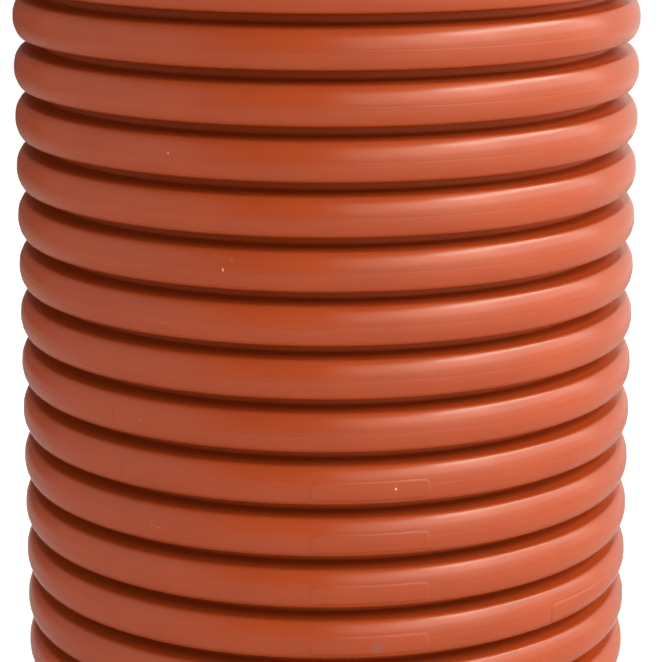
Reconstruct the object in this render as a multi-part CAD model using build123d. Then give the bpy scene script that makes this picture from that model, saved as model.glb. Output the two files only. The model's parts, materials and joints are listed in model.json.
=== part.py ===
"""Corrugated plastic riser pipe, the shaft of a drain inspection chamber.

One length of single wall pipe stands on its sawn end. The bottom of the pipe is at z = 0 and its axis
is the Z axis. Sizes are in millimetres.
"""
import os
from math import acos, cos, radians, sin

from build123d import *

# Main sizes of the pipe
bore_diameter = 425.0
wall_thickness = 3.0
rib_depth = 22.5
rib_pitch = 38.2
rib_count = 26

# The rib's section: a crowned face, a rounded shoulder, a steep flank and a narrow groove
crest_land = 3.0
crown_radius = 19.0
shoulder_radius = 4.0
inner_shoulder_radius = 1.2
flank_draft = 6.0
groove_fillet = 2.0
groove_floor = 2.5

# Sizes that follow
pipe_length = rib_pitch * rib_count
bore_radius = bore_diameter / 2
groove_radius = bore_radius + wall_thickness
crest_radius = groove_radius + rib_depth
outside_diameter = 2 * crest_radius


def half_rib(crest, groove, crown, shoulder, fillet):
    """One side of a rib from its crest to the groove floor, as a list of point lists.

    Each point is (height over the middle of the rib, radius from the axis). Two points are a
    straight piece and three points are an arc. The crown, the shoulder, the flank and the fillet run
    tangent into each other, so the angle where the crown stops follows from the other sizes.
    """
    lean = radians(90.0 - flank_draft)
    crown_centre = (crest_land / 2, crest - crown)
    fillet_centre = (rib_pitch / 2 - groove_floor / 2, groove + fillet)
    across = (fillet_centre[0] - crown_centre[0]) * sin(lean)
    across += (fillet_centre[1] - crown_centre[1]) * cos(lean)
    crown_end = lean - acos((across - shoulder - fillet) / (crown - shoulder))
    shoulder_centre = on_arc(crown_centre, crown - shoulder, crown_end)

    crown_arc = [on_arc(crown_centre, crown, crown_end * k / 2) for k in range(3)]
    turn = (lean - crown_end) / 2
    shoulder_arc = [on_arc(shoulder_centre, shoulder, crown_end + turn * k) for k in range(3)]
    fillet_arc = [on_arc(fillet_centre, -fillet, lean * (2 - k) / 2) for k in range(3)]
    flank = [shoulder_arc[2], fillet_arc[0]]
    return [crown_arc, shoulder_arc, flank, fillet_arc]


def on_arc(centre, radius, angle):
    """Point on a section arc, with the angle counted from straight out of the pipe."""
    return (centre[0] + radius * sin(angle), centre[1] + radius * cos(angle))


def edge(points, middle):
    """Straight or curved edge through section points, for the rib whose middle is at this height."""
    placed = [(radius, 0.0, middle + height) for height, radius in points]
    if len(placed) == 2:
        return Line(*placed)
    return ThreePointArc(*placed)


def wall_outline(crest, groove, crown, shoulder, fillet):
    """Edges of one face of the pipe wall from the bottom end to the top end."""
    upper = half_rib(crest, groove, crown, shoulder, fillet)
    lower = [[(-height, radius) for height, radius in reversed(piece)] for piece in reversed(upper)]
    land = [(-crest_land / 2, crest), (crest_land / 2, crest)]
    half_floor = groove_floor / 2
    edges = [edge([(0.0, groove), (half_floor, groove)], 0.0)]
    for rib in range(rib_count):
        middle = rib_pitch * (rib + 0.5)
        edges += [edge(piece, middle) for piece in lower + [land] + upper]
        top = rib_pitch * (rib + 1)
        end = half_floor if rib < rib_count - 1 else 0.0
        edges.append(edge([(-half_floor, groove), (end, groove)], top))
    return edges


# The outer face has the full radii, and the inner face lies one wall thickness inside it
outer_edges = wall_outline(crest_radius, groove_radius, crown_radius, shoulder_radius, groove_fillet)
inner_edges = wall_outline(
    crest_radius - wall_thickness,
    bore_radius,
    crown_radius - wall_thickness,
    inner_shoulder_radius,
    groove_fillet + wall_thickness,
)

# Both ends are sawn off square in the middle of a groove, where the wall is nearest the axis
foot_edge = Line((bore_radius, 0.0, 0.0), (groove_radius, 0.0, 0.0))
head_edge = Line((groove_radius, 0.0, pipe_length), (bore_radius, 0.0, pipe_length))

# The wall section turned once round the axis is the pipe
wall_section = Face(Wire([foot_edge, *outer_edges, head_edge, *inner_edges]))
riser_pipe = revolve(wall_section, Axis.Z)

os.makedirs("parts", exist_ok=True)
export_step(riser_pipe, "parts/riser_pipe.step")
print("riser_pipe", round(riser_pipe.volume / 1e6, 3), "litres of plastic")
print("outside diameter", outside_diameter, "mm, length", pipe_length, "mm")
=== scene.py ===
# %% [markdown]
# A plastic riser pipe, dressed for its portrait.
#
# The real object is the shaft of a drain inspection chamber: a wide pipe of orange-brown plastic whose
# wall is blown into rings, so that a thin wall can carry the soil round it. The imported CAD model is the
# frame that everything here is fitted to. It is loaded first, and its record is kept. The finished model
# may not grow out of it.

# %% Load the frame
import json
import math

import bpy
from mathutils import Matrix, Vector


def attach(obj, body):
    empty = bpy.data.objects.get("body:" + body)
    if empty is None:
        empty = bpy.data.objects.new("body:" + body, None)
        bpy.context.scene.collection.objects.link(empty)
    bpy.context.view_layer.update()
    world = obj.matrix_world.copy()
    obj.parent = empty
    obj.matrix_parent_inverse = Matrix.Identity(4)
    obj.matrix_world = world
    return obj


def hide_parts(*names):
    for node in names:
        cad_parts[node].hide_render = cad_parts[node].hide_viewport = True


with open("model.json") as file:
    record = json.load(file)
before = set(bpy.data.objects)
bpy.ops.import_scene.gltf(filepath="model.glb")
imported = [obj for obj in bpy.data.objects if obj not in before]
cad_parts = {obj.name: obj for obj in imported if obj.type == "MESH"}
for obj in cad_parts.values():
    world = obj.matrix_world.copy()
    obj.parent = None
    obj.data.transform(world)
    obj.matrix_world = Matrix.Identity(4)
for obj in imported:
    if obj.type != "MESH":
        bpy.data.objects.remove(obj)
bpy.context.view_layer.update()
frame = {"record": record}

# %% [markdown]
# Sizes come next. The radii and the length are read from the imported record, where they are the sizes of
# the pipe's mounts. The rib's section is named here in millimetres, as it is in the CAD source: a flat
# land on the crest, a crowned face, a tight shoulder, a steep flank and a narrow groove.

# %% Sizes of the pipe
MM = 0.001
mounts = {mount["name"]: mount["dims"] for mount in frame["record"]["mounts"]}
crest_radius = mounts["outside_crests"]["r_mm"] * MM
bore_radius = mounts["bore"]["r_mm"] * MM
pipe_length = mounts["bore"]["length_mm"] * MM

rib_count = 26
rib_pitch = pipe_length / rib_count
wall_thickness = 3.0 * MM
crest_land = 3.0 * MM
crown_radius = 19.0 * MM
shoulder_radius = 4.0 * MM
inner_shoulder_radius = 1.2 * MM
flank_lean = math.radians(84.0)
groove_fillet = 2.0 * MM
groove_floor = 2.5 * MM
print("ribs:", rib_count, "pitch in mm:", round(rib_pitch / MM, 3))

# %% [markdown]
# The camera stands where the photograph was taken from: in front of the pipe, a little above the ribs that
# fill the frame, looking down. A long lens keeps the two sides of the pipe nearly parallel. It could be
# placed by eye, but the heights of the ribs in the photograph fix its distance, height and tilt well.

# %% Camera
camera_distance = 1.873
camera_height = 0.9097
camera_tilt = math.radians(13.607)
camera_yaw = math.radians(-0.117)
camera_roll = math.radians(0.12)
lens_mm = 133.1
film_width_mm = 36.0

camera_data = bpy.data.cameras.new("portrait_camera")
camera_data.lens = lens_mm
camera_data.sensor_width = film_width_mm
camera = bpy.data.objects.new("portrait_camera", camera_data)
bpy.context.scene.collection.objects.link(camera)
camera.matrix_world = (
    Matrix.Translation((0.0, -camera_distance, camera_height))
    @ Matrix.Rotation(camera_yaw, 4, "Z")
    @ Matrix.Rotation(math.pi / 2 - camera_tilt, 4, "X")
    @ Matrix.Rotation(camera_roll, 4, "Z")
)
bpy.context.scene.camera = camera
bpy.context.scene.view_settings.view_transform = "Standard"
print("camera looks down by", round(math.degrees(camera_tilt), 2), "degrees")

# %% [markdown]
# Every node tree below, in a material or in Geometry Nodes, is built with one small function. It adds a
# node, gives it its settings, and fills its inputs: a socket or a node is linked, anything else is set as
# the input's value. A second one turns the sRGB colour that a colour picker shows into the linear colour
# that Blender computes with.

# %% Helpers for nodes and colours
def add_node(tree, kind, inputs=None, **settings):
    """Add a node to a tree with its settings, and link or set its inputs by name or number."""
    node = tree.nodes.new(kind)
    for name, value in settings.items():
        setattr(node, name, value)
    for key, value in (inputs or {}).items():
        if isinstance(value, bpy.types.Node):
            value = value.outputs[0]
        if isinstance(value, bpy.types.NodeSocket):
            tree.links.new(value, node.inputs[key])
        else:
            node.inputs[key].default_value = value
    return node


def linear(hex_colour):
    """Linear RGBA of an sRGB colour written as six hex digits."""
    channels = [int(hex_colour[k:k + 2], 16) / 255 for k in (0, 2, 4)]
    curve = [c / 12.92 if c <= 0.04045 else ((c + 0.055) / 1.055) ** 2.4 for c in channels]
    return (*curve, 1.0)


white = linear("FFFFFF")
print("linear white:", white)

# %% [markdown]
# The studio is a plain, rather dim room, because the deep grooves and the sides of the pipe mirror what
# stands round it, and they are dark on the real one. The world is therefore one even grey for every kind
# of ray, and the brightness comes from lamps.

# %% World
room_level = 0.1
world = bpy.data.worlds.new("plain_studio")
world.use_nodes = True
bpy.context.scene.world = world
sky = world.node_tree
sky.nodes.clear()
sky_light = add_node(sky, "ShaderNodeBackground", {"Color": white, "Strength": room_level})
add_node(sky, "ShaderNodeOutputWorld", {"Surface": sky_light})
print("world level:", room_level)

# %% [markdown]
# The floor is a wide sheet of pale paper. One square face is enough for it, because the paper lies flat as
# far as the camera sees.

# %% Floor
floor_half = 9.0
floor_corners = [(-floor_half, -floor_half, 0), (floor_half, -floor_half, 0),
                 (floor_half, floor_half, 0), (-floor_half, floor_half, 0)]
floor_mesh = bpy.data.meshes.new("studio_floor")
floor_mesh.from_pydata(floor_corners, [], [(0, 1, 2, 3)])
studio_floor = bpy.data.objects.new("studio_floor", floor_mesh)
bpy.context.scene.collection.objects.link(studio_floor)
print("floor is", 2 * floor_half, "m wide")

# %% [markdown]
# Behind the pipe the photograph is pure white. More light would bleach the pipe as well, so the paper glows
# there instead. The glowing field widens away from the pipe, as the camera's view does, and it fades softly
# at its edges. Object coordinates say in metres where on the paper a point lies.

# %% Paper: where it glows
paper = bpy.data.materials.new("pale paper sweep")
paper.use_nodes = True
sweep = paper.node_tree
sweep.nodes.clear()
paper_glow = 0.95
field_start = 0.264
field_spread = 0.141
faded_out = 1.35
full_glow_behind = 0.4

paper_place = add_node(sweep, "ShaderNodeTexCoord").outputs["Object"]
spot = add_node(sweep, "ShaderNodeSeparateXYZ", {0: paper_place})
behind = add_node(sweep, "ShaderNodeMath", {0: spot.outputs["Y"], 1: 0.0}, operation="MAXIMUM")
field = add_node(sweep, "ShaderNodeMath", {0: behind, 1: field_spread, 2: field_start},
                 operation="MULTIPLY_ADD")
aside = add_node(sweep, "ShaderNodeMath", {0: spot.outputs["X"]}, operation="ABSOLUTE")
out_of_field = add_node(sweep, "ShaderNodeMath", {0: aside, 1: field}, operation="DIVIDE")
across_field = add_node(sweep, "ShaderNodeMapRange", {
    "Value": out_of_field, "From Min": 1.0, "From Max": faded_out, "To Min": paper_glow, "To Max": 0.0},
    interpolation_type="SMOOTHSTEP")
along_field = add_node(sweep, "ShaderNodeMapRange", {
    "Value": spot.outputs["Y"], "From Min": 0.0, "From Max": full_glow_behind},
    interpolation_type="SMOOTHSTEP")
glow = add_node(sweep, "ShaderNodeMath", {0: across_field, 1: along_field}, operation="MULTIPLY")
print("strongest glow of the paper:", paper_glow)

# %% [markdown]
# Light Path tells what kind of ray meets the paper. Only the camera, mirrors and glass see the glow, so it
# sheds no light on the pipe. The matte paper under the glow takes the pipe's shadow.

# %% Paper: a glow for the eye over a matte sheet
rays = add_node(sweep, "ShaderNodeLightPath").outputs
by_eye = add_node(sweep, "ShaderNodeMath", {0: rays["Is Camera Ray"], 1: rays["Is Glossy Ray"]},
                  operation="MAXIMUM")
is_seen = add_node(sweep, "ShaderNodeMath", {0: by_eye, 1: rays["Is Transmission Ray"]}, operation="MAXIMUM")
seen_glow = add_node(sweep, "ShaderNodeMath", {0: is_seen, 1: glow}, operation="MULTIPLY")
paper_light = add_node(sweep, "ShaderNodeEmission", {"Color": white, "Strength": seen_glow})
matte = add_node(sweep, "ShaderNodeBsdfDiffuse", {"Color": linear("C0C0C0")})
paper_sum = add_node(sweep, "ShaderNodeAddShader", {0: matte, 1: paper_light})
add_node(sweep, "ShaderNodeOutputMaterial", {"Surface": paper_sum})
floor_mesh.materials.append(paper)
print("material:", paper.name)

# %% [markdown]
# The light comes from a wide, slightly warm window on the right, which lights the ribs and lies as a long
# soft reflection on them. A strip high over it draws the bright line along the shoulders and reaches down
# into the grooves, and a skylight hangs straight above. Pale walls on both sides only shed light, as matt
# walls do, and some panels only show in the gloss. Low lamps in front stand for the light off the floor.
# Area lamps do all this, because their size sets how soft the shadows and the reflections are.

# %% Lamps: one soft panel
lamp_aim = Vector((0.0, 0.0, 0.55))


def panel_lamp(name, turn, rise, distance, width, height, brightness,
               sheds=True, in_gloss=True, tint="FFFFFF"):
    """Soft panel, turned round the pipe from the front to the right and raised, in degrees and metres."""
    turn, rise = math.radians(turn), math.radians(rise)
    across = distance * math.cos(rise)
    offset = Vector((across * math.sin(turn), -across * math.cos(turn), distance * math.sin(rise)))
    lamp_data = bpy.data.lights.new(name, "AREA")
    lamp_data.shape = "RECTANGLE"
    lamp_data.size = width
    lamp_data.size_y = height
    lamp_data.energy = brightness * math.pi * width * height
    lamp_data.color = linear(tint)[:3]
    lamp = bpy.data.objects.new(name, lamp_data)
    bpy.context.scene.collection.objects.link(lamp)
    lamp.location = lamp_aim + offset
    lamp.rotation_euler = (-offset).to_track_quat("-Z", "Y").to_euler()
    lamp.visible_camera = False
    lamp.visible_diffuse = sheds
    lamp.visible_glossy = in_gloss


print("lamps look at a point", lamp_aim.z, "m high")

# %% [markdown]
# Each lamp is one line: its turn and rise, its distance, width and height, and its brightness. A lamp that
# sheds no light is there for the gloss alone, and one that isn't in the gloss is there for its light alone.
# In a studio these would be white cards and black cloth. Ray visibility does the same with less to build.

# %% Lamps: the studio
warm = "FFFAEC"
panel_lamp("window_right", 72.0, 17.0, 2.6, 4.8, 2.6, 1.35, tint=warm)
panel_lamp("window_gloss", 72.0, 17.0, 2.6, 4.8, 2.6, 1.1, sheds=False, tint=warm)
panel_lamp("window_side", 84.0, 28.0, 2.7, 2.7, 1.6, 1.7, tint=warm)
panel_lamp("window_sheen", 46.0, 25.0, 2.7, 1.55, 1.5, 2.5, sheds=False, tint=warm)
panel_lamp("window_edge", 18.0, 20.0, 2.6, 1.0, 1.8, 1.7, tint=warm)
panel_lamp("wall_far_right", 134.0, 2.0, 2.6, 2.2, 1.8, 1.6, in_gloss=False, tint=warm)
panel_lamp("gloss_far_right", 138.0, 8.0, 2.6, 3.2, 2.4, 0.75, sheds=False, tint=warm)
panel_lamp("ceiling_strip", 76.0, 41.0, 2.8, 2.6, 0.5, 8.5, tint=warm)
panel_lamp("skylight", 0.0, 90.0, 3.5, 1.4, 1.4, 6.0)
panel_lamp("wall_left", -75.0, 15.0, 2.6, 3.0, 2.0, 1.9, in_gloss=False)
panel_lamp("gloss_left", -80.0, 16.0, 2.6, 4.4, 2.4, 0.25, sheds=False)
panel_lamp("low_fill_left", -50.0, -3.5, 2.3, 3.6, 0.8, 0.8, in_gloss=False)
panel_lamp("low_fill_right", 36.0, -3.5, 2.3, 3.2, 0.8, 2.4, in_gloss=False)

# %% [markdown]
# The pipe is extruded polypropylene, coloured right through with iron-oxide red. Its colour is nearly even
# and only drifts a little, where the pigment is less well mixed. One flat colour would look dead, so a soft
# noise mixes two close tones. Patterns read Object coordinates in metres, so their scales come from real
# sizes.

# %% Extruded polypropylene: pigment
def pattern_scale(size_mm):
    """Scale of a noise pattern whose lumps are about this many millimetres apart."""
    return 1.0 / (size_mm * MM)


# Chilled in smooth moulds, this plastic shows the eye an even orange-brown under a soft gloss
plastic = bpy.data.materials.new("extruded polypropylene")
plastic.use_nodes = True
skin = plastic.node_tree
skin.nodes.clear()
place = add_node(skin, "ShaderNodeTexCoord").outputs["Object"]

# A Mix node has sockets for every kind of value, and for colours they have these numbers
SHARE, UNDER, OVER, MIXED = 0, 6, 7, 2
noise_low, noise_high = 0.3, 0.7
cloud_mm = 60.0
clouds = add_node(skin, "ShaderNodeTexNoise", {
    "Vector": place, "Scale": pattern_scale(cloud_mm), "Detail": 3.0})
cloud_share = add_node(skin, "ShaderNodeMapRange", {
    "Value": clouds.outputs[0], "From Min": noise_low, "From Max": noise_high})
pigment = add_node(skin, "ShaderNodeMix", {
    SHARE: cloud_share, UNDER: linear("A6411A"), OVER: linear("AC451D")}, data_type="RGBA")
print("clouds in the pigment are", cloud_mm, "mm apart")

# %% [markdown]
# The grooves get painted shade: their colour turns darker towards the groove's floor, where shade falls,
# and they are made duller. On the right, where more light falls, the painted shade starts deeper in the
# groove and is weaker. A noise could darken the grooves only by chance. The mesh brings an attribute named
# groove instead, which is 0 on the crest and 1 on the groove's floor, so the painted shade follows the real
# depth.

# %% Extruded polypropylene: painted shade in the grooves
# Painted shade in the grooves: where it begins on the left and on the right, as a share of the depth
left_side, right_side = -0.15, 0.15
shade_depth_left, shade_depth_right = 0.13, 0.36
shade_run = 0.45
shade_eases_from, shade_eased_from = 0.09, 0.2
shade_share_on_right = 0.2
rib_specular, groove_specular = 0.5, 0.12

groove = add_node(skin, "ShaderNodeAttribute", attribute_name="groove").outputs["Fac"]
side_place = add_node(skin, "ShaderNodeSeparateXYZ", {0: place})
shade_start = add_node(skin, "ShaderNodeMapRange", {
    "Value": side_place.outputs["X"], "From Min": left_side, "From Max": right_side,
    "To Min": shade_depth_left, "To Max": shade_depth_right})
shade_full = add_node(skin, "ShaderNodeMath", {0: shade_start, 1: shade_run}, operation="ADD")
# Painted shade: a ramp from where it begins down to the groove's floor
shade_ramp = add_node(skin, "ShaderNodeMapRange", {
    "Value": groove, "From Min": shade_start, "From Max": shade_full})
# The painted shade is weaker on the right, where more light falls
shade_by_side = add_node(skin, "ShaderNodeMapRange", {
    "Value": side_place.outputs["X"], "From Min": shade_eases_from, "From Max": shade_eased_from,
    "To Min": 1.0, "To Max": shade_share_on_right}, interpolation_type="SMOOTHSTEP")
painted_shade = add_node(skin, "ShaderNodeMath", {0: shade_ramp, 1: shade_by_side}, operation="MULTIPLY")
# Painted shade: the pigment turns dark brown deep in the grooves
shaded_pigment = add_node(skin, "ShaderNodeMix", {
    SHARE: painted_shade, UNDER: pigment.outputs[MIXED], OVER: linear("8B340C")}, data_type="RGBA")
gloss = add_node(skin, "ShaderNodeMapRange", {
    "Value": shade_ramp, "To Min": rib_specular, "To Max": groove_specular})
print("grime starts at these shares of the groove's depth:", shade_depth_left, shade_depth_right)

# %% [markdown]
# Handling has left marks: pale specks, two light scratches and a grey smudge. Two short dark traces show
# where the halves of the mould met. They could be painted on an unwrapped mesh, but a few small ovals are
# enough. Each has its turn round the pipe in degrees, its rib, its height over the rib's middle, its half
# width and half height in millimetres, its tint and its strength.

# %% Extruded polypropylene: list of marks
specks = [(-27.2, 16, 2.8, 0.9, 1.3, "E3A68F", 0.8), (-17.4, 14, 0.5, 0.9, 1.8, "F2C2AA", 0.9),
          (-15.9, 14, 8.0, 1.3, 1.3, "C98068", 0.3), (11.9, 10, -2.2, 1.1, 1.1, "FFD8C0", 0.95),
          (-33.7, 11, -0.3, 1.0, 1.2, "C98068", 0.4), (-31.6, 9, -1.3, 0.8, 0.8, "D08A72", 0.6)]
scratches = [(-30.2, 9, -1.3, 5.0, 0.4, "C98068", 0.6), (-30.2, 13, -1.1, 1.6, 0.6, "C98068", 0.4),
             (-28.6, 13, -3.0, 5.0, 0.5, "C98068", 0.5)]
smudge = [(8.9, 7, -6.2, 6.5, 8.0, "72625F", 0.33)]
seam_traces = [(-40.0, 11, 0.0, 2.0, 14.0, "7A2E18", 0.25), (-38.3, 10, 0.0, 2.0, 14.0, "7A2E18", 0.25)]
marks = specks + scratches + smudge + seam_traces
print("marks:", len(marks))

# %% [markdown]
# To find the marks, the shader unrolls the pipe: a point's way round it, its distance from the axis and its
# height become X, Y and Z. Each mark then compares a point with its own oval and covers it more, the nearer
# it is. The distance from the axis keeps a mark on the outside, so that it doesn't show on the bore as well.

# %% Extruded polypropylene: marks on the unrolled pipe
flat_place = add_node(skin, "ShaderNodeVectorMath", {0: place, 1: (1.0, 1.0, 0.0)}, operation="MULTIPLY")
from_axis = add_node(skin, "ShaderNodeVectorMath", {0: flat_place}, operation="LENGTH").outputs["Value"]
to_front = add_node(skin, "ShaderNodeMath", {0: side_place.outputs["Y"], 1: -1.0}, operation="MULTIPLY")
turn_here = add_node(skin, "ShaderNodeMath", {0: side_place.outputs["X"], 1: to_front}, operation="ARCTAN2")
round_here = add_node(skin, "ShaderNodeMath", {0: turn_here, 1: crest_radius}, operation="MULTIPLY")
unrolled = add_node(skin, "ShaderNodeCombineXYZ", {
    "X": round_here, "Y": from_axis, "Z": side_place.outputs["Z"]})
full_cover = 0.2

marked = shaded_pigment.outputs[MIXED]
for degrees, rib_number, over_middle, half_width, half_height, tint, strength in marks:
    run_down = max(abs(over_middle) * MM - crest_land / 2, 0.0)
    radius_there = crest_radius - crown_radius + math.sqrt(crown_radius ** 2 - run_down ** 2)
    spot_there = (math.radians(degrees) * crest_radius, radius_there,
                  (rib_number + 0.5) * rib_pitch + over_middle * MM)
    oval_size = (half_width * MM, wall_thickness, half_height * MM)
    away = add_node(skin, "ShaderNodeVectorMath", {0: unrolled, 1: spot_there}, operation="SUBTRACT")
    oval = add_node(skin, "ShaderNodeVectorMath", {0: away, 1: oval_size}, operation="DIVIDE")
    reach = add_node(skin, "ShaderNodeVectorMath", {0: oval}, operation="LENGTH")
    cover = add_node(skin, "ShaderNodeMapRange", {
        "Value": reach.outputs["Value"], "From Min": full_cover, "From Max": 1.0,
        "To Min": strength, "To Max": 0.0})
    marked = add_node(skin, "ShaderNodeMix", {
        SHARE: cover, UNDER: marked, OVER: linear(tint)}, data_type="RGBA").outputs[MIXED]
print("nodes in the plastic so far:", len(skin.nodes))

# %% [markdown]
# The moulds were turned on a lathe, and their fine rings show as faint streaks in the gloss. Separate rings
# could be modelled, but a noise that is stretched round the pipe is enough: it changes the roughness a little
# and makes a bump of a hundredth of a millimetre. Where the grooves get painted shade, the plastic is duller
# still.

# %% Extruded polypropylene: turned rings and shader
# Real rings are a few tenths of a millimetre apart, too fine to show, so they are drawn coarser
ring_mm = 1.6
ring_stretch = 0.004
ring_bump = 0.01 * MM
ring_bump_strength = 0.1
smooth_ring, rough_ring = 0.25, 0.27
shade_dullness = 0.3
polypropylene_ior = 1.49

stretch = add_node(skin, "ShaderNodeMapping", {"Vector": place, "Scale": (ring_stretch, ring_stretch, 1.0)})
rings = add_node(skin, "ShaderNodeTexNoise", {
    "Vector": stretch.outputs[0], "Scale": pattern_scale(ring_mm), "Detail": 2.0})
sheen = add_node(skin, "ShaderNodeMapRange", {
    "Value": rings.outputs[0], "From Min": noise_low, "From Max": noise_high,
    "To Min": smooth_ring, "To Max": rough_ring})
# Roughness rises where the grooves get painted shade
dullness = add_node(skin, "ShaderNodeMath", {0: painted_shade, 1: shade_dullness, 2: sheen}, operation="MULTIPLY_ADD")
relief = add_node(skin, "ShaderNodeBump", {
    "Height": rings.outputs[0], "Strength": ring_bump_strength, "Distance": ring_bump})
plastic_shader = add_node(skin, "ShaderNodeBsdfPrincipled", {
    "Base Color": marked, "Roughness": dullness, "Specular IOR Level": gloss, "Normal": relief,
    "IOR": polypropylene_ior})
add_node(skin, "ShaderNodeOutputMaterial", {"Surface": plastic_shader})
print("material:", plastic.name)

# %% [markdown]
# A rib's section has straight runs and arcs that meet smoothly. A simple way to draw such a line is to
# give the corners of the straight runs, and to let Fillet Curve round each corner with its own radius, as
# on a drawing board. This function works out the corners of one side of a rib.

# %% Corners of a rib
def rib_corners(crest, groove, crown, shoulder, fillet):
    """Corners of a half rib as (radius, height over the rib's middle): crown, shoulder and groove."""
    land_end = crest_land / 2
    floor_start = rib_pitch / 2 - groove_floor / 2
    across = (floor_start - land_end) * math.sin(flank_lean)
    across += (groove + fillet - crest + crown) * math.cos(flank_lean)
    crown_end = flank_lean - math.acos((across - shoulder - fillet) / (crown - shoulder))
    crown_corner = (crest, land_end + crown * math.tan(crown_end / 2))
    reach = shoulder * math.tan((flank_lean - crown_end) / 2)
    shoulder_corner = (crest - crown * (1 - math.cos(crown_end)) - reach * math.sin(crown_end),
                       land_end + crown * math.sin(crown_end) + reach * math.cos(crown_end))
    groove_corner = (groove, floor_start - fillet * math.tan(flank_lean / 2))
    return crown_corner, shoulder_corner, groove_corner


groove_radius = bore_radius + wall_thickness
outer_radii = (crown_radius, shoulder_radius, groove_fillet)
inner_radii = (crown_radius - wall_thickness, inner_shoulder_radius, groove_fillet + wall_thickness)
outer_corners = rib_corners(crest_radius, groove_radius, *outer_radii)
inner_corners = rib_corners(crest_radius - wall_thickness, bore_radius, *inner_radii)
print("outer corners in mm:", [[round(v / MM, 2) for v in corner] for corner in outer_corners])
print("inner corners in mm:", [[round(v / MM, 2) for v in corner] for corner in inner_corners])

# %% [markdown]
# Round the middle of every crest runs a fine line, where the mould's vents let the air out. It is cut into
# the section as a shallow V. One list then holds a whole rib from its lower groove to its upper groove: the
# corner, its rounding radius, and how many pieces its arc is divided into. The inside is hardly seen, so
# its arcs have fewer pieces.

# %% One whole rib as a list of corners
vent_half = 0.35 * MM
vent_depth = 0.2 * MM
vent_shoulder = 0.6 * MM
outer_arc_pieces = (4, 3, 3)
inner_arc_pieces = (1, 1, 2)


def whole_rib(half, radii, pieces, middle):
    """Corners of a rib from bottom to top as (radius, height, rounding radius, arc pieces)."""
    upper = [(*corner, radius, count) for corner, radius, count in zip(half, radii, pieces)]
    lower = [(radius, -height, rounding, count) for radius, height, rounding, count in reversed(upper)]
    return lower + middle + upper


vent_line = [(crest_radius, -vent_shoulder, 0.0, 1), (crest_radius, -vent_half, 0.0, 1),
             (crest_radius - vent_depth, 0.0, 0.0, 1),
             (crest_radius, vent_half, 0.0, 1), (crest_radius, vent_shoulder, 0.0, 1)]
outer_rib = whole_rib(outer_corners, outer_radii, outer_arc_pieces, vent_line)
inner_rib = whole_rib(inner_corners, inner_radii, inner_arc_pieces, [])
print("corners in a rib, outside and inside:", len(outer_rib), len(inner_rib))

# %% [markdown]
# The pipe itself is a body of revolution that repeats the same rib, so it is made by Geometry Nodes. The tree
# lays a line of points, sends each point to its corner of its rib, rounds the corners, and turns the
# closed outline round the axis on a grid. A Screw modifier on a drawn outline would do the same, but
# here the number of ribs, the pitch and the roundness of the turn stay inputs that can be changed.

# %% Tree that turns the pipe: its inputs
lathe = bpy.data.node_groups.new("corrugated_pipe", "GeometryNodeTree")
lathe.is_modifier = True
for name, kind in (("Ribs", "NodeSocketInt"), ("Pitch", "NodeSocketFloat"), ("Sawn Edge", "NodeSocketFloat"),
                   ("Turn Steps", "NodeSocketInt"), ("Material", "NodeSocketMaterial")):
    lathe.interface.new_socket(name, in_out="INPUT", socket_type=kind)
lathe.interface.new_socket("Geometry", in_out="OUTPUT", socket_type="NodeSocketGeometry")
given = add_node(lathe, "NodeGroupInput").outputs
print("inputs:", [item.name for item in lathe.interface.items_tree if item.in_out == "INPUT"])

# %% [markdown]
# The points are counted along the outside from the bottom to the top, and back down along the inside. From
# a point's number follow the rib it belongs to and which of the rib's corners it is. One point before the
# first rib and one after the last are the sawn ends: their heights are held between the two ends of the pipe.

# %% Tree that turns the pipe: which corner a point is
end_points = 2.0
number = add_node(lathe, "GeometryNodeInputIndex")
outer_total, inner_total = [
    add_node(lathe, "ShaderNodeMath", {0: given["Ribs"], 1: len(corners), 2: end_points},
             operation="MULTIPLY_ADD") for corners in (outer_rib, inner_rib)]
total = add_node(lathe, "ShaderNodeMath", {0: outer_total, 1: inner_total}, operation="ADD")
last = add_node(lathe, "ShaderNodeMath", {0: total, 1: 1.0}, operation="SUBTRACT")
is_inner = add_node(lathe, "FunctionNodeCompare", {0: number, 1: outer_total}, data_type="FLOAT",
                    operation="GREATER_EQUAL")
from_top = add_node(lathe, "ShaderNodeMath", {0: last, 1: number}, operation="SUBTRACT")
upwards = add_node(lathe, "GeometryNodeSwitch", {"Switch": is_inner, "False": number, "True": from_top},
                   input_type="FLOAT")
step = add_node(lathe, "ShaderNodeMath", {0: upwards, 1: 1.0}, operation="SUBTRACT")
per_rib = add_node(lathe, "GeometryNodeSwitch", {
    "Switch": is_inner, "False": float(len(outer_rib)), "True": float(len(inner_rib))}, input_type="FLOAT")
ribs_done = add_node(lathe, "ShaderNodeMath", {0: step, 1: per_rib}, operation="DIVIDE")
rib = add_node(lathe, "ShaderNodeMath", {0: ribs_done}, operation="FLOOR")
before_rib = add_node(lathe, "ShaderNodeMath", {0: rib, 1: per_rib}, operation="MULTIPLY")
corner_number = add_node(lathe, "ShaderNodeMath", {0: step, 1: before_rib}, operation="SUBTRACT")
print("nodes so far:", len(lathe.nodes))

# %% [markdown]
# An Index Switch is a small table: it gives the value that stands at a corner's number. There is one table
# for each of the four values of a corner, for the outside and for the inside.

# %% Tree that turns the pipe: values of a corner
corner_values = []
for entry, data_type in enumerate(("FLOAT", "FLOAT", "FLOAT", "INT")):
    tables = []
    for corners in (outer_rib, inner_rib):
        table = add_node(lathe, "GeometryNodeIndexSwitch", {0: corner_number}, data_type=data_type)
        while len(table.index_switch_items) < len(corners):
            table.index_switch_items.new()
        for place_in_rib, corner in enumerate(corners):
            table.inputs[place_in_rib + 1].default_value = corner[entry]
        tables.append(table)
    corner_values.append(add_node(lathe, "GeometryNodeSwitch", {
        "Switch": is_inner, "False": tables[0], "True": tables[1]}, input_type=data_type))
radius_here, height_here, rounding_here, pieces_here = corner_values
print("values of a corner:", len(corner_values))
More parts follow.
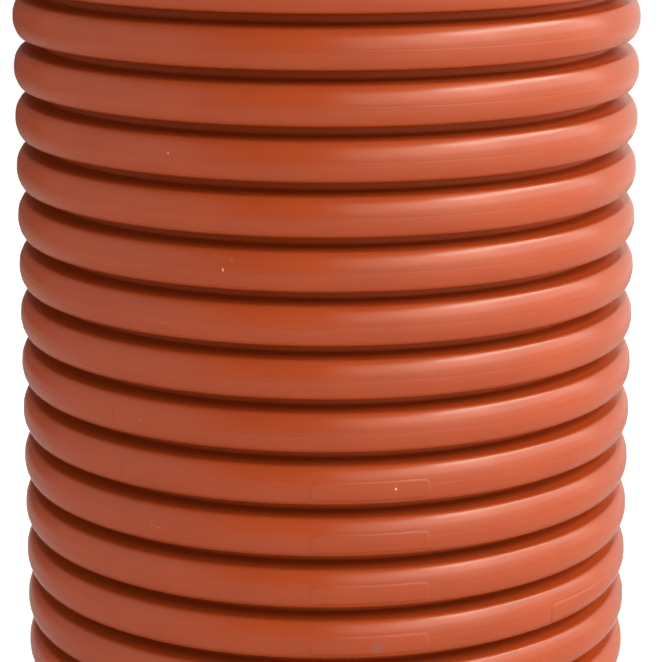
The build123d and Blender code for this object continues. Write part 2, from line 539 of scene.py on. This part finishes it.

# %% [markdown]
# Now the outline is drawn. Its points remember whether they are outside, because only the outside gets
# painted shade in its grooves. The two sawn ends get a small rounding of their own, from the knife that takes
# the burr off.

# %% Tree that turns the pipe: rounded outline
middle = add_node(lathe, "ShaderNodeMath", {0: rib, 1: 0.5}, operation="ADD")
raw_height = add_node(lathe, "ShaderNodeMath", {0: middle, 1: given["Pitch"], 2: height_here},
                      operation="MULTIPLY_ADD")
full_length = add_node(lathe, "ShaderNodeMath", {0: given["Ribs"], 1: given["Pitch"]}, operation="MULTIPLY")
height = add_node(lathe, "ShaderNodeClamp", {"Value": raw_height, "Min": 0.0, "Max": full_length})
corner_place = add_node(lathe, "ShaderNodeCombineXYZ", {"X": radius_here, "Z": height})
sharp_line = add_node(lathe, "GeometryNodeMeshLine", {"Count": total})
placed_line = add_node(lathe, "GeometryNodeSetPosition", {"Geometry": sharp_line, "Position": corner_place})
is_outer = add_node(lathe, "ShaderNodeMath", {0: 1.0, 1: is_inner}, operation="SUBTRACT")
marked_line = add_node(lathe, "GeometryNodeStoreNamedAttribute", {
    "Geometry": placed_line, "Name": "outside", "Value": is_outer}, data_type="FLOAT", domain="POINT")
open_outline = add_node(lathe, "GeometryNodeMeshToCurve", {0: marked_line})
outline = add_node(lathe, "GeometryNodeSetSplineCyclic", {"Geometry": open_outline, "Cyclic": True})
from_end = add_node(lathe, "ShaderNodeMath", {0: given["Ribs"], 1: rib}, operation="SUBTRACT")
inside_ends = add_node(lathe, "ShaderNodeMath", {0: middle, 1: from_end}, operation="MULTIPLY")
is_end = add_node(lathe, "FunctionNodeCompare", {0: inside_ends, 1: 0.0}, data_type="FLOAT",
                  operation="LESS_EQUAL")
rounding = add_node(lathe, "GeometryNodeSwitch", {
    "Switch": is_end, "False": rounding_here, "True": given["Sawn Edge"]}, input_type="FLOAT")
rounded = add_node(lathe, "GeometryNodeFilletCurve", {
    "Curve": outline, "Count": pieces_here, "Radius": rounding, "Limit Radius": True}, mode="POLY")
print("nodes so far:", len(lathe.nodes))

# %% [markdown]
# A grid has as many columns as the outline has points, and as many rows as the turn has steps. Each of its
# points takes its radius and height from the outline and its angle from its row.

# %% Tree that turns the pipe: the turn
outline_size = add_node(lathe, "GeometryNodeAttributeDomainSize", {0: rounded}, component="CURVE")
points = outline_size.outputs["Point Count"]
columns = add_node(lathe, "ShaderNodeMath", {0: points, 1: 1.0}, operation="ADD")
rows = add_node(lathe, "ShaderNodeMath", {0: given["Turn Steps"], 1: 1.0}, operation="ADD")
grid = add_node(lathe, "GeometryNodeMeshGrid", {"Vertices X": columns, "Vertices Y": rows})
share = add_node(lathe, "ShaderNodeSeparateXYZ", {0: grid.outputs["UV Map"]})
raw_column = add_node(lathe, "ShaderNodeMath", {0: share.outputs["X"], 1: points}, operation="MULTIPLY")
column = add_node(lathe, "ShaderNodeMath", {0: raw_column}, operation="ROUND")
point_number = add_node(lathe, "ShaderNodeMath", {0: column, 1: points}, operation="MODULO")
outline_place = add_node(lathe, "GeometryNodeSampleIndex", {
    "Geometry": rounded, "Value": add_node(lathe, "GeometryNodeInputPosition"), "Index": point_number},
    data_type="FLOAT_VECTOR", domain="POINT")
outline_parts = add_node(lathe, "ShaderNodeSeparateXYZ", {0: outline_place})
unturned = add_node(lathe, "ShaderNodeCombineXYZ", {
    "X": outline_parts.outputs["X"], "Z": outline_parts.outputs["Z"]})
angle = add_node(lathe, "ShaderNodeMath", {0: share.outputs["Y"], 1: math.tau}, operation="MULTIPLY")
turned = add_node(lathe, "ShaderNodeVectorRotate", {"Vector": unturned, "Angle": angle},
                  rotation_type="Z_AXIS")
print("nodes so far:", len(lathe.nodes))

# %% [markdown]
# The material paints shade into the grooves by their depth, so the grid stores how deep in a groove a point
# lies
# as an attribute before it is bent: 0 on the crest, 1 on the groove's floor, and 0 all over the inside.

# %% Tree that turns the pipe: depth in the groove
outside_here = add_node(lathe, "GeometryNodeInputNamedAttribute", {"Name": "outside"}, data_type="FLOAT")
outer_share = add_node(lathe, "GeometryNodeSampleIndex", {
    "Geometry": rounded, "Value": outside_here, "Index": point_number}, data_type="FLOAT", domain="POINT")
depth = add_node(lathe, "ShaderNodeMapRange", {
    "Value": outline_parts.outputs["X"], "From Min": crest_radius, "From Max": groove_radius})
groove_depth = add_node(lathe, "ShaderNodeMath", {0: depth, 1: outer_share}, operation="MULTIPLY")
marked_grid = add_node(lathe, "GeometryNodeStoreNamedAttribute", {
    "Geometry": grid, "Name": "groove", "Value": groove_depth}, data_type="FLOAT", domain="POINT")
print("nodes so far:", len(lathe.nodes))

# %% [markdown]
# Merge by Distance closes the grid where the turn and the outline come back to their start. The grid's faces
# then look into the wall, so they are flipped to face outward. The wall is shaded smooth all over, and the
# vent line stays crisp because the points beside it are close.

# %% Tree that turns the pipe: closed wall, material and output
weld = 0.01 * MM
wall = add_node(lathe, "GeometryNodeSetPosition", {"Geometry": marked_grid, "Position": turned})
closed = add_node(lathe, "GeometryNodeMergeByDistance", {"Geometry": wall, "Distance": weld})
outward_wall = add_node(lathe, "GeometryNodeFlipFaces", {0: closed})
soft_wall = add_node(lathe, "GeometryNodeSetShadeSmooth", {"Geometry": outward_wall, "Shade Smooth": True})
real_wall = add_node(lathe, "GeometryNodeRealizeInstances", {"Geometry": soft_wall})
finished_wall = add_node(lathe, "GeometryNodeSetMaterial", {
    "Geometry": real_wall, "Material": given["Material"]})
add_node(lathe, "NodeGroupOutput", {"Geometry": finished_wall})
print("nodes in all:", len(lathe.nodes))

# %% [markdown]
# The tree runs as a modifier on an object that starts empty. Its inputs are set by their identifiers, and
# then the result is made a plain mesh.

# %% Run the tree and keep the pipe's mesh
def keep_mesh(name, start_mesh, tree, values):
    """Run a Geometry Nodes tree on a mesh with named inputs, and return a plain mesh object."""
    piece = bpy.data.objects.new(name, start_mesh)
    bpy.context.scene.collection.objects.link(piece)
    modifier = piece.modifiers.new(tree.name, "NODES")
    modifier.node_group = tree
    for item in tree.interface.items_tree:
        if item.in_out == "INPUT" and item.name in values:
            modifier[item.identifier] = values[item.name]
    graph = bpy.context.evaluated_depsgraph_get()
    result = bpy.data.meshes.new_from_object(piece.evaluated_get(graph), depsgraph=graph)
    piece.modifiers.remove(modifier)
    piece.data = result
    result.name = name
    return piece


sawn_edge = 0.4 * MM
turn_steps = 88
corrugated_pipe = keep_mesh("corrugated_pipe", bpy.data.meshes.new("pipe_start"), lathe, {
    "Ribs": rib_count, "Pitch": rib_pitch, "Sawn Edge": sawn_edge, "Turn Steps": turn_steps,
    "Material": plastic})
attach(corrugated_pipe, "root")
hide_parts("riser_pipe")
corrugated_pipe.data.calc_loop_triangles()
print("pipe triangles:", len(corrugated_pipe.data.loop_triangles))

# %% [markdown]
# Some ribs carry low raised plates with rounded corners, and they are bare. A plate follows the crown of its
# rib both ways, so it is easier to grow it from a flat grid than to bend a box. The grid is as large as the
# plate and the bevel round it.

# %% Tree that raises the plates: inputs and flat grid
plates = bpy.data.node_groups.new("bare_plates", "GeometryNodeTree")
plates.is_modifier = True
plates.interface.new_socket("Geometry", in_out="INPUT", socket_type="NodeSocketGeometry")
for name in ("Width", "Height", "Corner", "Middle", "Bevel", "Proud", "Sink", "Crest"):
    plates.interface.new_socket(name, in_out="INPUT", socket_type="NodeSocketFloat")
plates.interface.new_socket("Material", in_out="INPUT", socket_type="NodeSocketMaterial")
plates.interface.new_socket("Geometry", in_out="OUTPUT", socket_type="NodeSocketGeometry")
wanted = add_node(plates, "NodeGroupInput").outputs

plate_columns, plate_rows = 97, 25
full_width, full_height = [
    add_node(plates, "ShaderNodeMath", {0: wanted["Bevel"], 1: 2.0, 2: wanted[size]},
             operation="MULTIPLY_ADD") for size in ("Width", "Height")]
sheet = add_node(plates, "GeometryNodeMeshGrid", {
    "Size X": full_width, "Size Y": full_height, "Vertices X": plate_columns, "Vertices Y": plate_rows})
flat = add_node(plates, "ShaderNodeSeparateXYZ", {0: add_node(plates, "GeometryNodeInputPosition")})
print("points in a plate's grid:", plate_columns * plate_rows)

# %% [markdown]
# The distance of a grid point from the plate's rounded outline gives its height over the skin: the full
# height inside, a slope over the bevel, and a skirt that sinks into the wall, so that no open rim shows.

# %% Tree that raises the plates: a height for each grid point
overhang = []
for axis, size in (("X", wanted["Width"]), ("Y", wanted["Height"])):
    half = add_node(plates, "ShaderNodeMath", {0: size, 1: 0.5}, operation="MULTIPLY")
    straight = add_node(plates, "ShaderNodeMath", {0: half, 1: wanted["Corner"]}, operation="SUBTRACT")
    off_centre = add_node(plates, "ShaderNodeMath", {0: flat.outputs[axis]}, operation="ABSOLUTE")
    overhang.append(add_node(plates, "ShaderNodeMath", {0: off_centre, 1: straight}, operation="SUBTRACT"))
past_x, past_y = [add_node(plates, "ShaderNodeMath", {0: value, 1: 0.0}, operation="MAXIMUM")
                  for value in overhang]
past_both = add_node(plates, "ShaderNodeCombineXYZ", {"X": past_x, "Y": past_y})
past = add_node(plates, "ShaderNodeVectorMath", {0: past_both}, operation="LENGTH")
deepest = add_node(plates, "ShaderNodeMath", {0: overhang[0], 1: overhang[1]}, operation="MAXIMUM")
within = add_node(plates, "ShaderNodeMath", {0: deepest, 1: 0.0}, operation="MINIMUM")
edge_sum = add_node(plates, "ShaderNodeMath", {0: past.outputs["Value"], 1: within}, operation="ADD")
from_edge = add_node(plates, "ShaderNodeMath", {0: edge_sum, 1: wanted["Corner"]}, operation="SUBTRACT")
inside_bevel = add_node(plates, "ShaderNodeMath", {0: wanted["Bevel"], 1: -1.0}, operation="MULTIPLY")
under_skin = add_node(plates, "ShaderNodeMath", {0: wanted["Sink"], 1: -1.0}, operation="MULTIPLY")
top_height = add_node(plates, "ShaderNodeMapRange", {
    "Value": from_edge, "From Min": inside_bevel, "From Max": wanted["Bevel"],
    "To Min": wanted["Proud"], "To Max": under_skin})
print("nodes so far:", len(plates.nodes))

# %% [markdown]
# The plate's top and its hidden back are the same grid at two heights, joined at their rims. Faces beyond the
# rounded outline would lie double there, so they are deleted, and the shell is closed. The test is made on
# points, so that a face goes only when all its points are past the outline.

# %% Tree that raises the plates: rounded outline
rim_share = 0.99
rim_start = add_node(plates, "ShaderNodeMath", {0: wanted["Bevel"], 1: rim_share}, operation="MULTIPLY")
is_rim = add_node(plates, "FunctionNodeCompare", {0: from_edge, 1: rim_start}, data_type="FLOAT",
                  operation="GREATER_EQUAL")
cut_sheet = add_node(plates, "GeometryNodeTriangulate", {0: sheet})
rim_points = add_node(plates, "GeometryNodeFieldOnDomain", {0: is_rim}, data_type="BOOLEAN", domain="POINT")
rounded_sheet = add_node(plates, "GeometryNodeDeleteGeometry", {
    "Geometry": cut_sheet, "Selection": rim_points}, domain="FACE", mode="ALL")
deeper = add_node(plates, "ShaderNodeMath", {0: under_skin, 1: 2.0}, operation="MULTIPLY")
back_height = add_node(plates, "GeometryNodeSwitch", {
    "Switch": is_rim, "False": deeper, "True": under_skin}, input_type="FLOAT")
print("nodes so far:", len(plates.nodes))

# %% [markdown]
# Both shells are wrapped in the same way: along the section, over the crest's land and down its crown, and
# then round the axis. A Curve modifier could bend a plate one way, but not both ways at once.

# %% Tree that raises the plates: wrapped on a rib
along = add_node(plates, "ShaderNodeMath", {0: flat.outputs["Y"], 1: wanted["Middle"]}, operation="ADD")
side = add_node(plates, "ShaderNodeMath", {0: along}, operation="SIGN")
run = add_node(plates, "ShaderNodeMath", {0: along}, operation="ABSOLUTE")
on_land = add_node(plates, "ShaderNodeMath", {0: run, 1: crest_land / 2}, operation="MINIMUM")
on_crown = add_node(plates, "ShaderNodeMath", {0: run, 1: on_land}, operation="SUBTRACT")
slope = add_node(plates, "ShaderNodeMath", {0: on_crown, 1: crown_radius}, operation="DIVIDE")
slope_sine = add_node(plates, "ShaderNodeMath", {0: slope}, operation="SINE")
slope_cosine = add_node(plates, "ShaderNodeMath", {0: slope}, operation="COSINE")
round_angle = add_node(plates, "ShaderNodeMath", {0: flat.outputs["X"], 1: wanted["Crest"]},
                       operation="DIVIDE")
crown_centre = add_node(plates, "ShaderNodeMath", {0: wanted["Crest"], 1: crown_radius},
                        operation="SUBTRACT")

shells = []
for height_over_skin in (top_height, back_height):
    arm = add_node(plates, "ShaderNodeMath", {0: height_over_skin, 1: crown_radius}, operation="ADD")
    out = add_node(plates, "ShaderNodeMath", {0: arm, 1: slope_cosine, 2: crown_centre},
                   operation="MULTIPLY_ADD")
    lift = add_node(plates, "ShaderNodeMath", {0: arm, 1: slope_sine, 2: on_land}, operation="MULTIPLY_ADD")
    signed_lift = add_node(plates, "ShaderNodeMath", {0: lift, 1: side}, operation="MULTIPLY")
    front = add_node(plates, "ShaderNodeMath", {0: out, 1: -1.0}, operation="MULTIPLY")
    unwrapped = add_node(plates, "ShaderNodeCombineXYZ", {"Y": front, "Z": signed_lift})
    wrapped = add_node(plates, "ShaderNodeVectorRotate", {"Vector": unwrapped, "Angle": round_angle},
                       rotation_type="Z_AXIS")
    shells.append(add_node(plates, "GeometryNodeSetPosition", {
        "Geometry": rounded_sheet, "Position": wrapped}))
back_shell = add_node(plates, "GeometryNodeFlipFaces", {0: shells[1]})
both = add_node(plates, "GeometryNodeJoinGeometry", {0: shells[0]})
plates.links.new(back_shell.outputs[0], both.inputs[0])
plate = add_node(plates, "GeometryNodeMergeByDistance", {"Geometry": both, "Distance": weld})
print("nodes so far:", len(plates.nodes))

# %% [markdown]
# One plate stands for all: it is put on every point that the tree is given, and turned round the axis by
# the point's own angle. The points say which rib has a plate, and where.

# %% Tree that raises the plates: placed on their ribs
turn = add_node(plates, "GeometryNodeInputNamedAttribute", {"Name": "turn"}, data_type="FLOAT")
facing = add_node(plates, "FunctionNodeAxisAngleToRotation", {"Axis": (0.0, 0.0, 1.0), "Angle": turn})
placed = add_node(plates, "GeometryNodeInstanceOnPoints", {
    "Points": wanted["Geometry"], "Instance": plate, "Rotation": facing})
real_plates = add_node(plates, "GeometryNodeRealizeInstances", {"Geometry": placed})
soft_plates = add_node(plates, "GeometryNodeSetShadeSmooth", {"Geometry": real_plates, "Shade Smooth": True})
finished_plates = add_node(plates, "GeometryNodeSetMaterial", {
    "Geometry": soft_plates, "Material": wanted["Material"]})
add_node(plates, "NodeGroupOutput", {"Geometry": finished_plates})
print("nodes in all:", len(plates.nodes))

# %% [markdown]
# The tree runs twice: for a column of four plates near the front, and for one on the right that stands a
# little prouder. Each run has a mesh of loose points, one for each plate at the middle of its rib.

# %% Run the tree and keep the plates' meshes
plate_sizes = {"Width": 86.0 * MM, "Height": 14.5 * MM, "Corner": 4.5 * MM, "Middle": -3.75 * MM,
               "Bevel": 1.2 * MM, "Sink": 0.35 * MM, "Crest": crest_radius, "Material": plastic}
front_plate_turn = 7.65
side_plate_turn = 54.8
plate_runs = [("bare_front_plates", (10, 9, 8, 7), front_plate_turn, 0.28 * MM),
              ("bare_side_plate", (7,), side_plate_turn, 0.6 * MM)]
for name, rib_numbers, degrees, proud in plate_runs:
    rib_middles = [(0.0, 0.0, (rib_number + 0.5) * rib_pitch) for rib_number in rib_numbers]
    plate_points = bpy.data.meshes.new(name + "_points")
    plate_points.from_pydata(rib_middles, [], [])
    turns = plate_points.attributes.new("turn", "FLOAT", "POINT")
    turns.data.foreach_set("value", [math.radians(degrees)] * len(rib_numbers))
    bare_plates = keep_mesh(name, plate_points, plates, {**plate_sizes, "Proud": proud})
    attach(bare_plates, "root")
    bare_plates.data.calc_loop_triangles()
    print(name, "triangles:", len(bare_plates.data.loop_triangles))

# %% [markdown]
